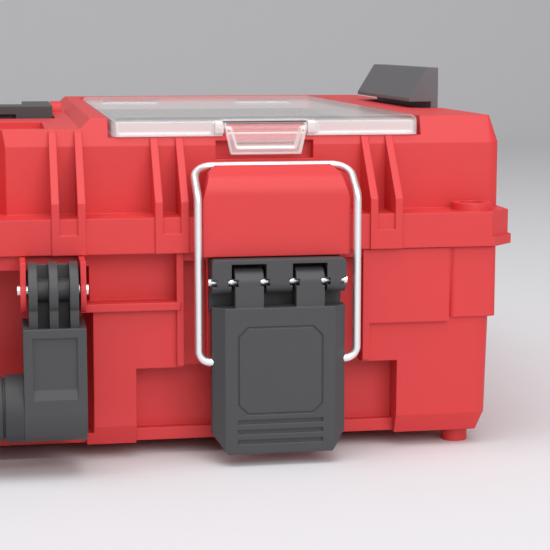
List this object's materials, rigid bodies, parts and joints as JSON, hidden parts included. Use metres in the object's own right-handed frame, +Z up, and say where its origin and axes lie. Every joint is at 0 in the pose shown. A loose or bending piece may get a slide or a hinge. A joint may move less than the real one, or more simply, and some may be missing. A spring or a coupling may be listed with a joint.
{
  "type": "tool box",
  "caption": "Flat moulded tool box with a hinged lid, wire bail latches, a swinging front handle, lidded organisers, stacking clips and a top handle.",
  "frame": {"origin": "centre of the bounding box on the floor, at rest with the lid shut", "axes": "+X to the right seen from the front, +Y to the rear, +Z up; the latches face -Y"},
  "size_m": [0.4586, 0.3116, 0.143],
  "materials": {
    "red_moulded_plastic": "satin moulded polypropylene",
    "dark_moulded_plastic": "fine grained dark grey",
    "clear_plastic": "clear moulded polycarbonate",
    "polished_steel": "polished",
    "seal_rubber": "matt",
    "grip_rubber": "fine grained dark grey"
  },
  "bodies": {
    "base": {"base_shell": "red_moulded_plastic", "bracket_screws": "polished_steel", "latch_bracket_right": "dark_moulded_plastic", "latch_bracket_left": "dark_moulded_plastic", "latch_pin_right": "polished_steel", "latch_pin_left": "polished_steel", "handle_pin_right": "polished_steel", "handle_pin_left": "polished_steel", "hinge_pin_right": "polished_steel", "hinge_pin_left": "polished_steel"},
    "lid": {"lid_shell": "red_moulded_plastic", "lid_seal": "seal_rubber", "organiser_tray_right": "dark_moulded_plastic", "organiser_tray_left": "dark_moulded_plastic", "organiser_dividers_right": "dark_moulded_plastic", "organiser_dividers_left": "dark_moulded_plastic", "cover_pin_right": "polished_steel", "cover_pin_left": "polished_steel", "stacking_clip_pin_right": "polished_steel", "stacking_clip_pin_left": "polished_steel", "top_handle_pin_right": "polished_steel", "top_handle_pin_left": "polished_steel"},
    "handle": {"handle_arm_right": "dark_moulded_plastic", "handle_arm_left": "dark_moulded_plastic", "handle_grip": "grip_rubber", "handle_core": "polished_steel"},
    "top_handle": {"top_handle": "dark_moulded_plastic"},
    "lever_right": {"latch_lever_right": "dark_moulded_plastic"},
    "bail_right": {"latch_bail_right": "polished_steel"},
    "cover_right": {"organiser_cover_right": "clear_plastic"},
    "cover_clip_right": {"cover_clip_right": "clear_plastic"},
    "stacking_clip_right": {"stacking_clip_right": "dark_moulded_plastic"},
    "lever_left": {"latch_lever_left": "dark_moulded_plastic"},
    "bail_left": {"latch_bail_left": "polished_steel"},
    "cover_left": {"organiser_cover_left": "clear_plastic"},
    "cover_clip_left": {"cover_clip_left": "clear_plastic"},
    "stacking_clip_left": {"stacking_clip_left": "dark_moulded_plastic"}
  },
  "joints": [
    {"name": "lid_hinge", "type": "hinge", "parent": "base", "child": "lid", "pos_m": [0, 0.15085, 0.079], "axis": [-1, 0, 0], "range_deg": [0, 105]},
    {"name": "handle_swing", "type": "hinge", "parent": "base", "child": "handle", "pos_m": [0, -0.14265, 0.0665], "axis": [-1, 0, 0], "range_deg": [0, 100]},
    {"name": "top_handle_swing", "type": "hinge", "parent": "lid", "child": "top_handle", "pos_m": [0, 0.03135, 0.123], "axis": [-1, 0, 0], "range_deg": [0, 90]},
    {"name": "latch_lever_right_swing", "type": "hinge", "parent": "base", "child": "lever_right", "pos_m": [0.1363, -0.14105, 0.0676], "axis": [-1, 0, 0], "range_deg": [0, 95]},
    {"name": "latch_bail_right_swing", "type": "hinge", "parent": "lever_right", "child": "bail_right", "pos_m": [0.1363, -0.14205, 0.0385], "axis": [-1, 0, 0], "range_deg": [-133, 0]},
    {"name": "cover_right_swing", "type": "hinge", "parent": "lid", "child": "cover_right", "pos_m": [0.1363, 0.10535, 0.1226], "axis": [-1, 0, 0], "range_deg": [0, 95]},
    {"name": "cover_clip_right_flip", "type": "hinge", "parent": "cover_right", "child": "cover_clip_right", "pos_m": [0.1353, -0.11845, 0.1223], "axis": [-1, 0, 0], "range_deg": [0, 60]},
    {"name": "stacking_clip_right_swing", "type": "hinge", "parent": "lid", "child": "stacking_clip_right", "pos_m": [0.219, 0.00535, 0.11], "axis": [0, 1, 0], "range_deg": [0, 90]},
    {"name": "latch_lever_left_swing", "type": "hinge", "parent": "base", "child": "lever_left", "pos_m": [-0.1363, -0.14105, 0.0676], "axis": [-1, 0, 0], "range_deg": [0, 95]},
    {"name": "latch_bail_left_swing", "type": "hinge", "parent": "lever_left", "child": "bail_left", "pos_m": [-0.1363, -0.14205, 0.0385], "axis": [-1, 0, 0], "range_deg": [-133, 0]},
    {"name": "cover_left_swing", "type": "hinge", "parent": "lid", "child": "cover_left", "pos_m": [-0.1363, 0.10535, 0.1226], "axis": [-1, 0, 0], "range_deg": [0, 95]},
    {"name": "cover_clip_left_flip", "type": "hinge", "parent": "cover_left", "child": "cover_clip_left", "pos_m": [-0.1353, -0.11845, 0.1223], "axis": [-1, 0, 0], "range_deg": [0, 60]},
    {"name": "stacking_clip_left_swing", "type": "hinge", "parent": "lid", "child": "stacking_clip_left", "pos_m": [-0.219, 0.00535, 0.11], "axis": [0, -1, 0], "range_deg": [0, 90]}
  ],
  "couplings": [
    {"joint": "latch_bail_right_swing", "follows": "latch_lever_right_swing", "ratio": -1.4},
    {"joint": "latch_bail_left_swing", "follows": "latch_lever_left_swing", "ratio": -1.4}
  ]
}
